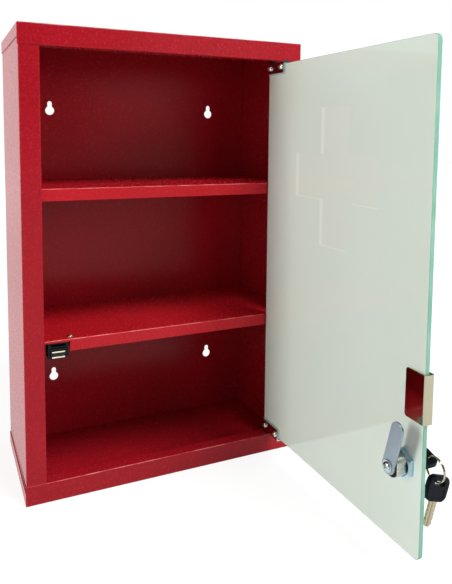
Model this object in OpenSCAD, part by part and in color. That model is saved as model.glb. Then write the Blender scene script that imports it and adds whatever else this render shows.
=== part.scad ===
// Small sheet steel wall cabinet for medicines with a frameless frosted glass door.
// The door is drawn swung open, with its cam lock, key and spare key on a ring.
// Lengths are in millimetres. The cabinet stands in -Y and the origin is the middle of
// the four wall keyholes, on the back panel's rear face. The flanges round the back
// reach the wall, one sheet further.

/* [Cabinet] */
// Overall width
body_w = 300; // [270:1:400]
// Overall depth
body_d = 140; // [110:1:200]
// Overall height
body_h = 460; // [420:1:600]
// Thickness of the sheet steel
sheet = 0.8; // [0.6:0.1:1]
// Inside radius of every bend in the sheet
bend_in = 0.4; // [0.3:0.1:0.8]
// Height of the front rails over and under the door
rail_h = 20; // [16:0.5:30]
// Width of the front stiles beside the door
stile_w = 20; // [16:0.5:30]
// How far the rails' return flanges reach back
rail_return = 14; // [11:0.5:20]
// Height of the flanges with which the two caps grip the sides
skirt_h = 13; // [9:0.5:15]
// Width of the flanges behind the back panel
back_flange = 12; // [6:0.5:16]

/* [Wall keyholes] */
// Distance between the keyholes, sideways
key_dx = 198; // [150:1:220]
// Distance between the keyholes, up and down
key_dz = 314; // [260:1:340]
// How far the middle of the pattern lies under the middle of the cabinet
key_drop = 1; // [-10:1:20]
// Diameter of the round part, which the screw head passes
key_hole_d = 10; // [8:0.5:13]
// Width of the slot, which holds the screw's neck
key_slot_w = 5; // [4:0.5:7]
// Height of the slot's end over the round part's middle
key_rise = 8.1; // [7.6:0.1:14]

/* [Shelves] */
// Height of the lower shelf's top
shelf_low_z = 158; // [150:1:190]
// Height of the upper shelf's top
shelf_high_z = 307; // [260:1:330]
// Height of the front lip
lip_h = 12; // [10:0.5:16]
// Height of the side and back flanges
shelf_flange_h = 10; // [6:0.5:16]
// Gap between the shelf corner and the stile's return flange
shelf_gap = 0.4; // [0.3:0.1:1.5]

/* [Glass door] */
// Angle at which the door stands open
door_open = 90; // [0:1:130]
// Thickness of the glass
glass_t = 4; // [3:0.5:5]
// Gap between the glass edge and the door opening, all round
edge_gap = 5; // [4.5:0.1:8]
// How far the outer face of the glass lies behind the front
glass_set = 3; // [2.6:0.1:5]
// Corner radius of the glass
glass_r = 5; // [2:0.5:8]
// Distance of the pivots from the hinge edge of the glass
pivot_in = 6; // [5:0.1:8]

/* [Hinge clips] */
// Length of a clip along the glass edge
clip_l = 32.5; // [26:0.5:50]
// How far a clip grips over the glass
clip_over = 9.5; // [8:0.5:14]
// How far a clip stands out past the glass edge
clip_out = 3.5; // [3.1:0.1:3.8]
// Thickness of the clip's plate
clip_t = 1.2; // [0.8:0.1:1.2]
// Thickness of the clear pad between clip and glass
clip_pad = 0.6; // [0.4:0.1:0.8]
// Diameter of the pivot pin
pin_d = 3.6; // [3:0.1:4]

/* [Handle and catch] */
// Height of the handle clip
handle_h = 40; // [34:1:60]
// How far the handle clip reaches over the glass
handle_over = 20; // [16:0.5:24]
// Thickness of the handle clip's plate
handle_t = 1; // [0.8:0.1:1.2]
// Thickness of the pad under its outer leg
handle_pad_out = 2.4; // [0.6:0.1:3]
// Thickness of the pad under its inner leg, which meets the catch
handle_pad_in = 1.1; // [0.6:0.1:2]
// Gap between the closed handle clip and the lip behind it
strike_gap = 0.4; // [0.4:0.1:1.5]
// Width of the magnet carrier
carrier_w = 15.9; // [12:0.1:16.5]

/* [Lock] */
// Distance of the lock from the free edge of the glass
lock_in = 20.5; // [17:0.5:24]
// Angle of the lever from upright
lever_tilt = 15; // [0:1:30]
// Diameter of the bezel
bezel_d = 23; // [22:0.5:27]
// Diameter of the threaded barrel
barrel_d = 19; // [17:0.5:20]
// Width of the nut across its flats
nut_af = 22.3; // [21:0.1:24]
// Gap between the end of the stile's return flange and the lever
lever_gap = 1.3; // [0.5:0.1:3]

/* [Keys] */
// Width of the plastic head
head_w = 22; // [20:0.5:26]
// Length of the plastic head
head_l = 21; // [19:0.5:24]
// Thickness of the plastic head
head_t = 5; // [4:0.1:5.2]
// Width of the blade
blade_w = 7.6; // [6:0.1:8]
// Thickness of the blade
blade_t = 2; // [1.6:0.1:2.2]
// Mean radius of the key ring
ring_r = 10; // [10:0.1:10.6]
// Diameter of the ring's wire
wire_d = 1.2; // [1:0.1:1.3]
// How far the spare key's tip leans to the glass
spare_lean = 18; // [6:1:24]

/* [Hidden] */
$fn = 48;
// running clearance of pins and plug, on the radius
fit = 0.05;
// clearance between pieces that move past each other
free = 0.3;
// outside radius of the bends
bend_out = bend_in + sheet;
// height of the frame's origin over the cabinet's bottom
origin_z = body_h / 2 - key_drop;
// the glass when closed
glass_x0 = stile_w + edge_gap;
glass_x1 = body_w - stile_w - edge_gap;
glass_z0 = rail_h + edge_gap;
glass_z1 = body_h - rail_h - edge_gap;
glass_y0 = glass_set;
glass_y1 = glass_set + glass_t;
// the pivot line of the door
pivot_x = glass_x1 - pivot_in;
pivot_y = glass_set + glass_t / 2;
// the hinge clips
clip_y0 = glass_y0 - clip_pad - clip_t;
clip_y1 = glass_y1 + clip_pad + clip_t;
clip_x1 = glass_x1 + 0.5;
clip_x0 = clip_x1 - clip_l;
clip_z1 = glass_z1 + clip_out;
clip_screw_x = [clip_x0 + 4, clip_x1 - 5.5];
clip_screw_z = glass_z1 - 3.5;
pin_head_t = clip_out - clip_t - clip_pad - 0.2;
bush_flange_t = edge_gap - clip_out - free;
// the handle clip
handle_y0 = glass_y0 - handle_pad_out - handle_t;
handle_y1 = glass_y1 + handle_pad_in + handle_t;
handle_x0 = glass_x0 - 1 - handle_t;
handle_z0 = shelf_low_z - handle_h / 2 - 0.5;
// the shelves
lip_y = handle_y1 + strike_gap;
panel_y = body_d - 2 * sheet;
shelf_y1 = panel_y - 0.2;
// the shelves' corner at the hinge is cut back, clear of the glass edge as it swings
relief_x = pivot_x - 4.4;
relief_y = pivot_y + norm([pivot_in, glass_t / 2]) + 0.5;
// the catch hangs under the lower shelf
under = shelf_low_z - sheet;
notch_w = 25.5;
strip_h = 2.5;
catch_x = stile_w + 14.65;
catch_y = lip_y + sheet + 0.2;
carrier_y = lip_y + 0.1;
carrier_z0 = under - 17.7;
screw_x = stile_w + 27.4;
screw_y = lip_y + 7.2;
// the lock: its lever just clears the catch and stops short of the side panel
lock_x = glass_x0 + lock_in;
lever_r = lock_x - 2 * sheet - 2.9;
lock_z = carrier_z0 - 0.5 - lever_r;
bezel_y = glass_y0 - 3;
lever_y = glass_y1 + 14.3;
lever_t = 2;
stile_return = lever_y - lever_gap;
barrel_y1 = lever_y - 0.4;
plug_r = 6;
plug_head_r = 7.5;
nut_t = 4.4;
washer_t = 0.8;
keyway_y1 = lever_y - 0.8;
// the keys
slot_w = 12;
slot_l = 4;
slot_web = 4;
blade_l = 21;
tang_l = 8;
key_y = bezel_y - 0.8 - head_l;
ring_x = lock_x - 11.3;
ring_y = key_y + slot_web + 1.8;
ring_z = lock_z - 6;
wire_in_slot = slot_web + wire_d / 2 + free + 0.3;

red = [0.68, 0.11, 0.15];
chrome = [0.78, 0.78, 0.8];
zinc = [0.66, 0.7, 0.76];
nickel = [0.8, 0.76, 0.68];
black = [0.06, 0.06, 0.07];

// ---- frames ----

// from the cabinet's own corner to the part's origin
module placed() {
    translate([-body_w / 2, -panel_y - sheet, -origin_z]) children();
}

// from the closed door to the door as it stands open
module on_door() {
    placed()
        translate([pivot_x, pivot_y, 0]) rotate([0, 0, door_open])
            translate([-pivot_x, -pivot_y, 0]) children();
}

// the lock's axis, turned with the lever
module on_plug() {
    on_door() translate([lock_x, 0, lock_z]) rotate([0, -lever_tilt, 0]) children();
}

// the same thing at the bottom as at the top
module upside_down() {
    translate([0, 0, body_h]) mirror([0, 0, 1]) children();
}

// the same thing at the right as at the left
module right_hand() {
    translate([body_w, 0, 0]) mirror([1, 0, 0]) children();
}

// a y-z drawing run along x
module along_x(x0, x1) {
    translate([x0, 0, 0]) rotate([90, 0, 90]) linear_extrude(height = x1 - x0) children();
}

// an x-z drawing run along y
module along_y(y0, y1) {
    translate([0, y1, 0]) rotate([90, 0, 0]) linear_extrude(height = y1 - y0) children();
}

// an x-y drawing run along z
module along_z(z0, z1) {
    translate([0, 0, z0]) linear_extrude(height = z1 - z0) children();
}

// ---- small shapes ----

module block(x0, x1, y0, y1, z0, z1) {
    translate([x0, y0, z0]) cube([x1 - x0, y1 - y0, z1 - z0]);
}

module rect(x0, x1, y0, y1) {
    translate([x0, y0]) square([x1 - x0, y1 - y0]);
}

// a rectangle with all four corners rounded
module round_rect(x0, x1, y0, y1, r) {
    rect(x0 + r, x1 - r, y0, y1);
    rect(x0, x1, y0 + r, y1 - r);
    for (x = [x0 + r, x1 - r], y = [y0 + r, y1 - r]) translate([x, y]) circle(r = r);
}

// a rectangle with its two upper corners rounded
module top_round_rect(x0, x1, y0, y1, r) {
    rect(x0 + r, x1 - r, y0, y1);
    rect(x0, x1, y0, y1 - r);
    for (x = [x0 + r, x1 - r]) translate([x, y1 - r]) circle(r = r);
}

// the bend of a sheet t thick round the point x, y: quarter 0 is +x +y, counted on
module bend(x, y, quarter, t, r_in) {
    translate([x, y]) rotate(90 * quarter)
        intersection() {
            difference() {
                circle(r = r_in + t);
                circle(r = r_in);
            }
            square(r_in + t + 1);
        }
}

// a round bar along y
module y_bar(y0, y1, r) {
    translate([0, y0, 0]) rotate([-90, 0, 0]) cylinder(h = y1 - y0, r = r);
}

// a pan head screw, its head standing on z = 0
module pan_screw(d, head_d, head_h, length) {
    difference() {
        union() {
            cylinder(h = head_h * 0.6, r = head_d / 2);
            translate([0, 0, head_h * 0.6])
                cylinder(h = head_h * 0.4, r1 = head_d / 2, r2 = head_d * 0.34);
            translate([0, 0, -length]) cylinder(h = length + 0.1, r = d / 2);
        }
        for (a = [0, 90]) rotate(a)
            translate([-head_d * 0.27, -0.4, head_h * 0.45]) cube([head_d * 0.54, 0.8, head_h]);
    }
}

// ---- the cabinet ----

// the top: plate, front rail with its return flange, skirt round sides and back
module cap() {
    difference() {
        intersection() {
            along_z(body_h - rail_h, body_h) round_rect(0, body_w, 0, body_d, bend_out);
            along_x(0, body_w) top_round_rect(0, body_d, body_h - rail_h, body_h, bend_out);
            along_y(0, body_d) top_round_rect(0, body_w, body_h - rail_h, body_h, bend_out);
        }
        block(sheet, body_w - sheet, sheet, body_d - sheet, body_h - rail_h - 1, body_h - sheet);
        block(-1, body_w + 1, sheet, body_d + 1, body_h - rail_h - 1, body_h - skirt_h);
        block(stile_w, body_w - stile_w, -1, sheet + 1, body_h - rail_h - 1, body_h - rail_h + bend_out);
    }
    difference() {
        along_x(stile_w, body_w - stile_w) {
            bend(bend_out, body_h - rail_h + bend_out, 2, sheet, bend_in);
            rect(bend_out, rail_return, body_h - rail_h, body_h - rail_h + sheet);
        }
        translate([pivot_x, pivot_y, body_h - rail_h - 1]) cylinder(h = 3, r = 3.5);
    }
}

module top_cap() {
    color(red) placed() cap();
}

module bottom_cap() {
    color(red) placed() upside_down() cap();
}

// a side: plate, stile with its return flange, and flange behind the back panel
module side_panel() {
    along_z(rail_h, body_h - rail_h) {
        bend(sheet + bend_out, bend_out, 2, sheet, bend_in);
        rect(sheet + bend_out, stile_w - bend_out, 0, sheet);
        bend(stile_w - bend_out, bend_out, 3, sheet, bend_in);
        rect(stile_w - sheet, stile_w, bend_out, stile_return);
        rect(sheet, 2 * sheet, bend_out, body_d - bend_out);
    }
    along_z(skirt_h, body_h - skirt_h) {
        bend(sheet + bend_out, body_d - bend_out, 1, sheet, bend_in);
        rect(sheet + bend_out, sheet + back_flange, body_d - sheet, body_d);
    }
    block(sheet, 2 * sheet, bend_out + sheet, body_d - bend_out - sheet, sheet, body_h - sheet);
    block(sheet, 2 * sheet, bend_out + sheet, body_d - bend_out, skirt_h, body_h - skirt_h);
}

module left_side() {
    color(red) placed() side_panel();
}

module right_side() {
    color(red) placed() right_hand() side_panel();
}

// the keyhole: a round hole with a slot over it
module keyhole() {
    circle(d = key_hole_d);
    translate([-key_slot_w / 2, 0]) square([key_slot_w, key_rise]);
    translate([0, key_rise]) circle(d = key_slot_w);
}

module back_panel() {
    edge = 2 * sheet + bend_in + 0.1;
    color(red) placed()
        along_y(panel_y, panel_y + sheet)
            difference() {
                rect(edge, body_w - edge, edge, body_h - edge);
                for (sx = [-0.5, 0.5], sz = [-0.5, 0.5])
                    translate([body_w / 2 + sx * key_dx, origin_z + sz * key_dz]) keyhole();
            }
}

// a tray shelf that is open below, its front corners cut back round the stiles
module shelf(z) {
    x0 = 2 * sheet;
    x1 = body_w - 2 * sheet;
    fx0 = stile_w + shelf_gap;
    fx1 = body_w - fx0;
    cut_y = stile_return + shelf_gap;
    difference() {
        intersection() {
            along_z(z - lip_h, z) {
                rect(x0, x1, cut_y, shelf_y1);
                rect(fx0, fx1, lip_y, cut_y + 1);
            }
            along_x(x0, x1) top_round_rect(lip_y, shelf_y1, z - lip_h, z, bend_out);
            along_y(lip_y, shelf_y1) top_round_rect(x0, x1, z - lip_h, z, bend_out);
        }
        block(x0 + sheet, x1 - sheet, lip_y + sheet, shelf_y1 - sheet, z - lip_h - 1, z - sheet);
        block(x0 - 1, x1 + 1, lip_y + sheet, shelf_y1 + 1, z - lip_h - 1, z - shelf_flange_h);
        block(relief_x, fx1 + 1, lip_y - 1, relief_y, z - lip_h - 1, z + 1);
    }
}

module upper_shelf() {
    color(red) placed() shelf(shelf_high_z);
}

// the lower shelf, its lip cut away in front of the catch
module lower_shelf() {
    color(red) placed()
        difference() {
            shelf(shelf_low_z);
            block(stile_w, stile_w + 0.4 + notch_w, lip_y - 1, lip_y + sheet + 0.1,
                shelf_low_z - lip_h - 1, shelf_low_z - strip_h);
            translate([stile_w + 0.4 + notch_w - 0.6, 0, shelf_low_z - strip_h - 0.6])
                y_bar(lip_y - 1, lip_y + sheet + 0.1, 1);
            translate([screw_x, screw_y, under - 1]) cylinder(h = sheet + 2, r = 1.6);
        }
}

// the nylon bush that a pivot pin turns in
module bush() {
    translate([pivot_x, pivot_y, body_h - rail_h])
        difference() {
            union() {
                translate([0, 0, -bush_flange_t]) cylinder(h = bush_flange_t, r = 4.5);
                cylinder(h = 6, r = 3.5);
            }
            translate([0, 0, -2]) cylinder(h = 9, r = pin_d / 2 + fit);
        }
}

module hinge_bush_top() {
    color(black) placed() bush();
}

module hinge_bush_bottom() {
    color(black) placed() upside_down() bush();
}

// ---- the magnetic catch under the lower shelf ----

module catch_housing() {
    x0 = catch_x - carrier_w / 2 - 0.2;
    x1 = catch_x + carrier_w / 2 + 0.2;
    color(black) placed()
        difference() {
            union() {
                block(stile_w + 0.9, screw_x + 3.6, catch_y, catch_y + 14.5, under - 2.2, under);
                block(x0 - 1.8, x1 + 1.8, catch_y, catch_y + 14.5, under - 16.7, under - 2);
                translate([screw_x, screw_y, under - 8]) cylinder(h = 7, r = 2.9);
            }
            block(x0, x1, catch_y - 1, catch_y + 13.3, under - 18, under - 7.4);
            block(x0 + 1, x1 - 1, catch_y - 1, catch_y + 9, under - 7.5, under - 3.4);
            translate([catch_x, catch_y + 6.5, carrier_z0 + 6]) rotate([0, 90, 0])
                cylinder(h = carrier_w + 12, r = 1 + fit, center = true);
            translate([screw_x, screw_y, under - 9]) cylinder(h = 12, r = 1.45);
        }
}

// the carrier that rocks a little on its two side pins, with a pocket for the magnet
module catch_carrier() {
    x0 = catch_x - carrier_w / 2;
    x1 = catch_x + carrier_w / 2;
    color(black) placed()
        difference() {
            union() {
                block(x0, x1, carrier_y, carrier_y + 13.6, carrier_z0, carrier_z0 + 10);
                translate([catch_x, catch_y + 6.5, carrier_z0 + 6]) rotate([0, 90, 0])
                    cylinder(h = carrier_w + 3.6, r = 1, center = true);
            }
            block(catch_x - 6.25, catch_x + 6.25, carrier_y - 1, carrier_y + 12,
                carrier_z0 + 0.9, carrier_z0 + 7.45);
        }
}

// a steel pole plate, z over the carrier's bottom
module catch_pole(z) {
    block(catch_x - 6.25, catch_x + 6.25, carrier_y - 0.2, carrier_y + 12,
        carrier_z0 + z, carrier_z0 + z + 1.25);
}

module catch_pole_upper() {
    color(chrome) placed() catch_pole(6.2);
}

module catch_pole_lower() {
    color(chrome) placed() catch_pole(0.9);
}

module catch_magnet() {
    color([0.2, 0.2, 0.21]) placed()
        block(catch_x - 6.25, catch_x + 6.25, carrier_y + 0.8, carrier_y + 12,
            carrier_z0 + 2.15, carrier_z0 + 6.2);
}

module catch_screw() {
    color(chrome) placed()
        translate([screw_x, screw_y, shelf_low_z]) pan_screw(2.9, 5.6, 1.9, 8);
}

// ---- the door ----

module door_glass() {
    color([0.8, 0.84, 0.82, 0.6]) on_door()
        along_y(glass_y0, glass_y1)
            difference() {
                round_rect(glass_x0, glass_x1, glass_z0, glass_z1, glass_r);
                translate([lock_x, lock_z]) circle(d = barrel_d + 0.6);
            }
}

// the channel that grips the glass edge at a pivot
module hinge_clip() {
    r = bend_in + clip_t;
    difference() {
        intersection() {
            along_x(clip_x0, clip_x1) {
                rect(clip_y0, clip_y0 + clip_t, glass_z1 - clip_over, clip_z1 - r);
                rect(clip_y1 - clip_t, clip_y1, glass_z1 - clip_over, clip_z1 - r);
                rect(clip_y0 + r, clip_y1 - r, clip_z1 - clip_t, clip_z1);
                bend(clip_y0 + r, clip_z1 - r, 1, clip_t, bend_in);
                bend(clip_y1 - r, clip_z1 - r, 0, clip_t, bend_in);
            }
            along_y(clip_y0 - 1, clip_y1 + 1) {
                rect(clip_x0, clip_x1, glass_z1 - clip_over + 2, clip_z1);
                rect(clip_x0 + 2, clip_x1 - 2, glass_z1 - clip_over, clip_z1);
                for (x = [clip_x0 + 2, clip_x1 - 2])
                    translate([x, glass_z1 - clip_over + 2]) circle(r = 2);
            }
        }
        for (x = clip_screw_x)
            translate([x, 0, clip_screw_z]) y_bar(glass_y1, clip_y1 + 1, 1.5);
        translate([pivot_x, pivot_y, glass_z1]) cylinder(h = clip_out + 1, r = pin_d / 2);
    }
}

module hinge_clip_top() {
    color(chrome) on_door() hinge_clip();
}

module hinge_clip_bottom() {
    color(chrome) on_door() upside_down() hinge_clip();
}

// the clear pad folded over the glass edge inside a clip
module hinge_pad() {
    z0 = glass_z1 - clip_over + 0.5;
    x0 = clip_x0 + 0.5;
    difference() {
        along_x(x0, glass_x1)
            rect(glass_y0 - clip_pad, glass_y1 + clip_pad, z0, glass_z1 + clip_pad);
        difference() {
            block(x0 - 1, clip_x1 + 1, glass_y0, glass_y1, z0 - 1, glass_z1);
            // the pad's web fills in round the glass corner
            along_y(glass_y0 - 1, glass_y1 + 1)
                difference() {
                    rect(glass_x1 - glass_r, glass_x1 + 2, glass_z1 - glass_r, glass_z1 + 1);
                    translate([glass_x1 - glass_r, glass_z1 - glass_r]) circle(r = glass_r);
                }
        }
    }
}

module hinge_pad_top() {
    color([0.85, 0.87, 0.86, 0.5]) on_door() hinge_pad();
}

module hinge_pad_bottom() {
    color([0.85, 0.87, 0.86, 0.5]) on_door() upside_down() hinge_pad();
}

// the pivot pin, its head held inside the channel
module hinge_pin() {
    translate([pivot_x, pivot_y, clip_z1 - clip_t - pin_head_t]) {
        cylinder(h = pin_head_t, r = 2.4);
        cylinder(h = pin_head_t + clip_t + edge_gap - clip_out + 5, r = pin_d / 2);
    }
}

module hinge_pin_top() {
    color(chrome) on_door() hinge_pin();
}

module hinge_pin_bottom() {
    color(chrome) on_door() upside_down() hinge_pin();
}

// a screw that clamps the glass through the clip's inner leg
module clip_screw(i) {
    translate([clip_screw_x[i], clip_y1, clip_screw_z]) rotate([-90, 0, 0])
        pan_screw(3, 6, 2.5, clip_t);
}

module clip_screw_top_inner() {
    color(chrome) on_door() clip_screw(0);
}

module clip_screw_top_outer() {
    color(chrome) on_door() clip_screw(1);
}

module clip_screw_bottom_inner() {
    color(chrome) on_door() upside_down() clip_screw(0);
}

module clip_screw_bottom_outer() {
    color(chrome) on_door() upside_down() clip_screw(1);
}

// the folded clip that is the handle outside and the catch's strike inside
module handle_clip() {
    r = bend_in + handle_t;
    x1 = glass_x0 + handle_over;
    color(nickel) on_door()
        intersection() {
            along_z(handle_z0, handle_z0 + handle_h) {
                rect(handle_x0 + r, x1, handle_y0, handle_y0 + handle_t);
                rect(handle_x0 + r, x1, handle_y1 - handle_t, handle_y1);
                rect(handle_x0, handle_x0 + handle_t, handle_y0 + r, handle_y1 - r);
                bend(handle_x0 + r, handle_y0 + r, 2, handle_t, bend_in);
                bend(handle_x0 + r, handle_y1 - r, 1, handle_t, bend_in);
            }
            along_y(handle_y0 - 1, handle_y1 + 1) {
                rect(handle_x0, x1 - 2.5, handle_z0, handle_z0 + handle_h);
                rect(handle_x0, x1, handle_z0 + 2.5, handle_z0 + handle_h - 2.5);
                for (z = [handle_z0 + 2.5, handle_z0 + handle_h - 2.5])
                    translate([x1 - 2.5, z]) circle(r = 2.5);
            }
        }
}

// the pad folded over the glass edge inside the handle clip
module handle_pad() {
    x1 = glass_x0 + handle_over - 1;
    color([0.3, 0.3, 0.3]) on_door()
        difference() {
            block(glass_x0 - 1, x1, glass_y0 - handle_pad_out, glass_y1 + handle_pad_in,
                handle_z0 + 1, handle_z0 + handle_h - 1);
            block(glass_x0, x1 + 1, glass_y0, glass_y1, handle_z0, handle_z0 + handle_h);
            for (y = [glass_y0 - handle_pad_out, glass_y1 + handle_pad_in])
                translate([glass_x0 - 1, y, handle_z0 - 1]) rotate(45)
                    cube([0.8, 0.8, 2 * handle_h], center = true);
        }
}

// ---- the cam lock ----

// bezel and threaded barrel with two flats, bored for the plug
module lock_housing() {
    color(zinc) on_door() translate([lock_x, 0, lock_z])
        difference() {
            union() {
                translate([0, bezel_y, 0]) rotate([-90, 0, 0])
                    cylinder(h = 0.6, r1 = bezel_d / 2 - 0.6, r2 = bezel_d / 2);
                y_bar(bezel_y + 0.6, glass_y0 - 0.5, bezel_d / 2);
                intersection() {
                    y_bar(bezel_y + 1, barrel_y1, barrel_d / 2);
                    block(-8, 8, bezel_y, barrel_y1 + 1, -15, 15);
                }
            }
            y_bar(bezel_y - 1, barrel_y1 + 1, plug_r + fit);
            y_bar(bezel_y - 1, bezel_y + 2, plug_head_r + fit);
        }
}

module lock_gasket() {
    color(black) on_door() translate([lock_x, 0, lock_z])
        difference() {
            y_bar(glass_y0 - 0.5, glass_y0, bezel_d / 2 - 0.5);
            y_bar(glass_y0 - 1, glass_y0 + 1, barrel_d / 2);
        }
}

module lock_nut() {
    color([0.62, 0.72, 0.84]) on_door() translate([lock_x, 0, lock_z])
        difference() {
            intersection() {
                translate([0, glass_y1, 0]) rotate([-90, 0, 0]) rotate(30)
                    cylinder(h = nut_t, r = nut_af / sqrt(3), $fn = 6);
                translate([0, glass_y1, 0]) rotate([-90, 0, 0])
                    cylinder(h = nut_t, r1 = nut_af * 0.6, r2 = nut_af * 0.54);
            }
            y_bar(glass_y1 - 1, glass_y1 + nut_t + 1, barrel_d / 2);
        }
}

// the plug: round head, keyway, and a square tail that carries the lever
module lock_plug() {
    kw = blade_w / 2 + free;
    kt = blade_t / 2 + free;
    color(nickel) on_plug()
        difference() {
            union() {
                y_bar(bezel_y, bezel_y + 2 - fit, plug_head_r);
                y_bar(bezel_y + 1, lever_y, plug_r);
                block(-3.5, 3.5, lever_y - 1, lever_y + lever_t - 0.1, -3.5, 3.5);
            }
            block(-kw, kw, bezel_y - 1, keyway_y1, -kt, kt);
            y_bar(lever_y - 0.4, lever_y + lever_t + 1, 1.75);
        }
}

module lock_lever() {
    end_r = 6.5;
    color(zinc) on_plug()
        along_y(lever_y, lever_y + lever_t)
            difference() {
                union() {
                    circle(r = 7);
                    rect(-end_r, end_r, 0, lever_r - end_r);
                    translate([0, lever_r - end_r]) circle(r = end_r);
                }
                rect(-3.5, 3.5, -3.5, 3.5);
            }
}

module lever_washer() {
    color(zinc) on_plug()
        difference() {
            y_bar(lever_y + lever_t, lever_y + lever_t + washer_t, 5);
            y_bar(lever_y, lever_y + lever_t + washer_t + 1, 1.9);
        }
}

module lever_screw() {
    y = lever_y + lever_t + washer_t;
    color(chrome) on_plug()
        translate([0, y, 0]) rotate([-90, 0, 0]) pan_screw(3.5, 7, 1.9, y - lever_y + 0.4);
}

// ---- the keys: drawn flat, x across, y from the outer end of the head to the tip ----

module head_shape() {
    color(black)
        difference() {
            along_z(-head_t / 2, head_t / 2)
                difference() {
                    round_rect(-head_w / 2, head_w / 2, 0, head_l, 6);
                    round_rect(-slot_w / 2, slot_w / 2, slot_web, slot_web + slot_l, 1.5);
                }
            for (z = [-head_t / 2 - 1, head_t / 2 - 0.4])
                block(-7, 7, slot_web + slot_l + 2.5, head_l - 3, z, z + 1.4);
            block(-blade_w / 2, blade_w / 2, head_l - tang_l, head_l + 1, -blade_t / 2, blade_t / 2);
        }
}

// a blade with cuts in both edges and a groove along each face
module blade_shape() {
    w = blade_w / 2;
    tip = head_l + blade_l;
    color(nickel)
        difference() {
            along_z(-blade_t / 2, blade_t / 2)
                difference() {
                    polygon([
                        [-w, head_l - tang_l], [w, head_l - tang_l], [w, tip - 2.4],
                        [w - 2.4, tip], [2.4 - w, tip], [-w, tip - 2.4]
                    ]);
                    for (i = [0 : 3])
                        translate([w + 1, head_l + 5.6 + 3.4 * i]) rotate(45)
                            square([1.9 + 0.5 * (i % 2), 1.9 + 0.5 * (i % 2)], center = true);
                }
            for (s = [-1, 1])
                block(-1.4, -0.2, head_l + 1, tip + 1, s > 0 ? blade_t / 2 - 0.5 : -blade_t / 2 - 1,
                    s > 0 ? blade_t / 2 + 1 : 0.5 - blade_t / 2);
        }
}

// the key in the lock
module in_lock() {
    on_plug() translate([0, key_y, 0]) children();
}

// the spare key, hung on the lowest point of the ring
module on_ring() {
    on_door()
        translate([ring_x, ring_y, ring_z - ring_r])
            rotate([spare_lean - 90, 0, 0]) rotate([0, 90, 0])
                translate([3.9, -wire_in_slot, 0]) children();
}

module key_head() {
    in_lock() head_shape();
}

module key_blade() {
    in_lock() blade_shape();
}

module spare_head() {
    on_ring() head_shape();
}

module spare_blade() {
    on_ring() blade_shape();
}

// a wire ring with a fine butt joint
module key_ring() {
    color(nickel) on_door()
        translate([ring_x, ring_y, ring_z]) rotate([90, 0, 0])
            difference() {
                rotate_extrude($fn = 64) translate([ring_r, 0]) circle(d = wire_d, $fn = 20);
                rotate(200) block(ring_r - 2, ring_r + 2, -0.15, 0.15, -2, 2);
            }
}

top_cap();
bottom_cap();
left_side();
right_side();
back_panel();
upper_shelf();
lower_shelf();
hinge_bush_top();
hinge_bush_bottom();
catch_housing();
catch_carrier();
catch_magnet();
catch_pole_upper();
catch_pole_lower();
catch_screw();
door_glass();
hinge_clip_top();
hinge_clip_bottom();
hinge_pad_top();
hinge_pad_bottom();
hinge_pin_top();
hinge_pin_bottom();
clip_screw_top_inner();
clip_screw_top_outer();
clip_screw_bottom_inner();
clip_screw_bottom_outer();
handle_clip();
handle_pad();
lock_housing();
lock_gasket();
lock_nut();
lock_plug();
lock_lever();
lever_washer();
lever_screw();
key_blade();
key_head();
key_ring();
spare_blade();
spare_head();
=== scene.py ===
# %% [markdown]
# # A small steel medicine cabinet with a glass door
#
# The cabinet is a folded steel box with two shelves. A frameless glass door hangs on two clips,
# a magnet holds it shut and a cam lock keeps it shut. The steel work comes from the CAD model as
# it is and only needs good paint. The door's glass, its fittings, the lock and the keys are
# modelled here again, with the rounded edges, threads and grooves that catch the light.

# %% Load the CAD model and keep its size
import math
import bpy
import bmesh
from mathutils import Matrix, Vector


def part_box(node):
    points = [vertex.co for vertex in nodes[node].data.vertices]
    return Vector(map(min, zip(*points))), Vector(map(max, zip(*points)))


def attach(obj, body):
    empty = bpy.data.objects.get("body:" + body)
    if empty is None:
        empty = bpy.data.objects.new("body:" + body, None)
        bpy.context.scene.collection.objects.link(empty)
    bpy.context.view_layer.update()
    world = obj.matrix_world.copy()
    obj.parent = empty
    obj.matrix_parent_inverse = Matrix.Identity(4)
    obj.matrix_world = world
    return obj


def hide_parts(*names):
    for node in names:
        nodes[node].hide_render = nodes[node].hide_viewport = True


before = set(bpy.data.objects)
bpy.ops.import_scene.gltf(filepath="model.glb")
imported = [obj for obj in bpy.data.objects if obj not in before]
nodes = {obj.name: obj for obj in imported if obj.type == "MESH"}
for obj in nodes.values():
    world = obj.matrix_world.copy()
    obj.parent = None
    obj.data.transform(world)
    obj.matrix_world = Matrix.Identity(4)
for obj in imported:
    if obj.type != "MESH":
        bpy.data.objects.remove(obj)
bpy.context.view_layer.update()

# %% [markdown]
# ## Three drawing boards
#
# Every fitting is easier to draw where it is made than where it hangs. So each group of pieces
# gets its own drawing board, a matrix that carries millimetres on the board to metres in the
# model. CABINET starts at the lower left front corner, with y going in. DOOR is the shut door,
# swung open about its pivots. PLUG is the lock's axis, turned with the lever.
#
# The places of the fittings, and many of their outer sizes, are measured from the CAD model to a
# tenth of a millimetre. So a new piece lands where the plain one sat.

# %% Measuring on a board
def turn(degrees, axis):
    return Matrix.Rotation(math.radians(degrees), 4, axis)


def move(x, y, z):
    return Matrix.Translation((x, y, z))


def tenths(values):
    return [round(v, 1) for v in values]


def measured(node, board):
    """A piece's box on a board, as x, x, y, y, z, z."""
    corners = [board.inverted() @ Vector(corner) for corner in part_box(node)]
    return tenths(pick(pair) for pair in zip(*corners) for pick in (min, max))


def middle(node, board):
    sides = measured(node, board)
    return Vector(tenths((a + b) / 2 for a, b in zip(sides[::2], sides[1::2])))


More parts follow.
